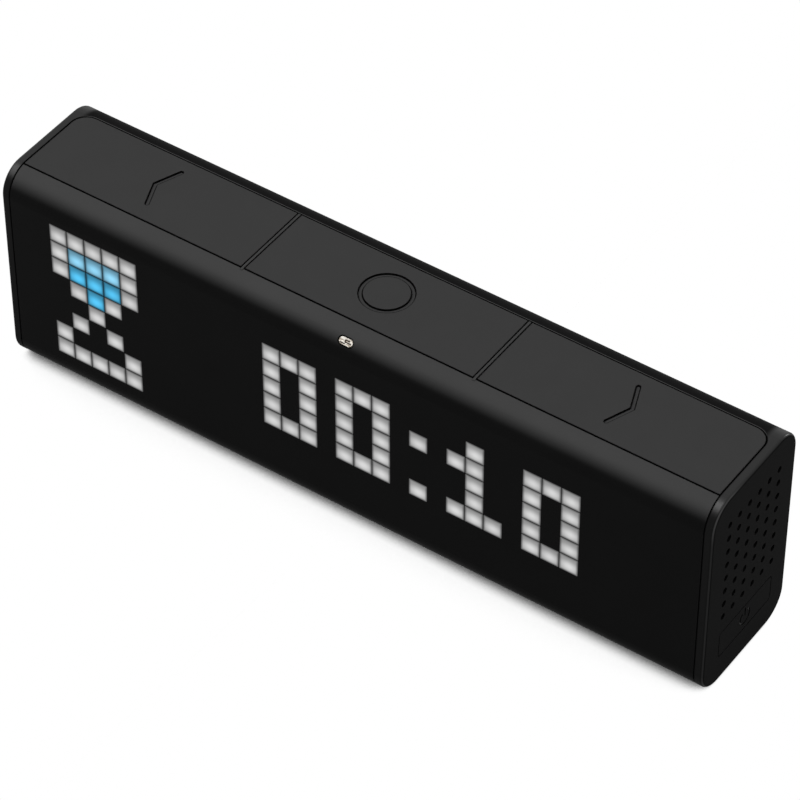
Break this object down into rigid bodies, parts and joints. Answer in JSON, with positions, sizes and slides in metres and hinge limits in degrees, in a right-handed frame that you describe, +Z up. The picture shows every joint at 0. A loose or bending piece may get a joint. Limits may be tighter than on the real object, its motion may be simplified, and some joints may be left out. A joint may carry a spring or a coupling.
{
  "type": "pixel clock",
  "caption": "Shelf clock in the form of a long bar: dot display behind a smoked panel, long keys on top, speaker grilles in the ends, USB inlet at the back.",
  "frame": {"origin": "on the table under the middle of the body, in the plane of the feet", "axes": "+X to the right seen from the front, +Y to the back, +Z up"},
  "size_m": [0.201, 0.036, 0.061],
  "materials": {
    "housing_black": "fine satin moulding",
    "panel_smoked": "smoked, satin outside",
    "key_black": "fine satin moulding",
    "side_key_black": "fine satin moulding",
    "foot_rubber": "matt",
    "screw_steel": "plain zinc",
    "diffuser_white": "frosted film",
    "baffle_black": "matt",
    "board_green": "solder mask",
    "led_package": "clear resin on white",
    "chip_black": "moulded epoxy",
    "sensor_ceramic": "metallised ceramic",
    "sensor_track": "photo film under resin",
    "tinned_wire": "tinned",
    "plunger_ivory": "plain",
    "carrier_grey": "plain moulding",
    "switch_black": "plain",
    "can_steel": "tin plate",
    "ferrite": "sintered",
    "capacitor_aluminium": "plain can",
    "connector_ivory": "plain",
    "ribbon_white": "film",
    "usb_steel": "tin plate",
    "usb_black": "plain",
    "speaker_frame": "plain",
    "speaker_cone": "pressed pulp",
    "speaker_magnet": "ferrite magnet",
    "gasket_foam": "closed cell foam",
    "wire_red": "soft insulation",
    "wire_white": "soft insulation"
  },
  "bodies": {
    "housing": {"rear_housing": "housing_black", "front_panel": "panel_smoked", "rubber_feet": "foot_rubber", "panel_screws": "screw_steel", "diffuser_sheet": "diffuser_white", "pixel_baffle": "baffle_black", "led_board": "board_green", "display_leds": "led_package", "led_drivers": "chip_black", "display_screws": "screw_steel", "light_sensor": "sensor_ceramic", "sensor_track": "sensor_track", "sensor_leads": "tinned_wire", "key_carrier": "carrier_grey", "carrier_screws": "screw_steel", "switch_board": "board_green", "key_switches": "switch_black", "power_switch": "switch_black", "power_board": "board_green", "volume_switches": "switch_black", "volume_board": "board_green", "side_board_screws": "screw_steel", "main_board": "board_green", "main_board_screws": "screw_steel", "processor": "chip_black", "wireless_module": "can_steel", "power_coil": "ferrite", "capacitors": "capacitor_aluminium", "board_connectors": "connector_ivory", "usb_shell": "usb_steel", "usb_insert": "usb_black", "display_ribbon": "ribbon_white", "key_ribbon": "ribbon_white", "left_speaker_frame": "speaker_frame", "left_speaker_cone": "speaker_cone", "left_speaker_magnet": "speaker_magnet", "left_speaker_gasket": "gasket_foam", "right_speaker_frame": "speaker_frame", "right_speaker_cone": "speaker_cone", "right_speaker_magnet": "speaker_magnet", "right_speaker_gasket": "gasket_foam", "speaker_wires": "wire_red", "side_board_wires": "wire_white"},
    "left_key": {"left_key": "key_black", "left_plunger": "plunger_ivory"},
    "action_key": {"action_key": "key_black", "action_plunger": "plunger_ivory"},
    "right_key": {"right_key": "key_black", "right_plunger": "plunger_ivory"},
    "power_key": {"power_key": "side_key_black", "power_plunger": "plunger_ivory"},
    "volume_up_key": {"volume_up_key": "side_key_black", "volume_up_plunger": "plunger_ivory"},
    "volume_down_key": {"volume_down_key": "side_key_black", "volume_down_plunger": "plunger_ivory"}
  },
  "joints": [
    {"name": "left_key_press", "type": "slide", "parent": "housing", "child": "left_key", "axis": [0, 0, -1], "range_m": [0, 0.0006], "stiffness_N_per_m": 1500, "springref_m": -0.0004},
    {"name": "action_key_press", "type": "slide", "parent": "housing", "child": "action_key", "axis": [0, 0, -1], "range_m": [0, 0.0006], "stiffness_N_per_m": 1500, "springref_m": -0.0004},
    {"name": "right_key_press", "type": "slide", "parent": "housing", "child": "right_key", "axis": [0, 0, -1], "range_m": [0, 0.0006], "stiffness_N_per_m": 1500, "springref_m": -0.0004},
    {"name": "power_key_press", "type": "slide", "parent": "housing", "child": "power_key", "axis": [-1, 0, 0], "range_m": [0, 0.0005], "stiffness_N_per_m": 1500, "springref_m": -0.0004},
    {"name": "volume_up_key_press", "type": "slide", "parent": "housing", "child": "volume_up_key", "axis": [1, 0, 0], "range_m": [0, 0.0005], "stiffness_N_per_m": 1500, "springref_m": -0.0004},
    {"name": "volume_down_key_press", "type": "slide", "parent": "housing", "child": "volume_down_key", "axis": [1, 0, 0], "range_m": [0, 0.0005], "stiffness_N_per_m": 1500, "springref_m": -0.0004}
  ]
}
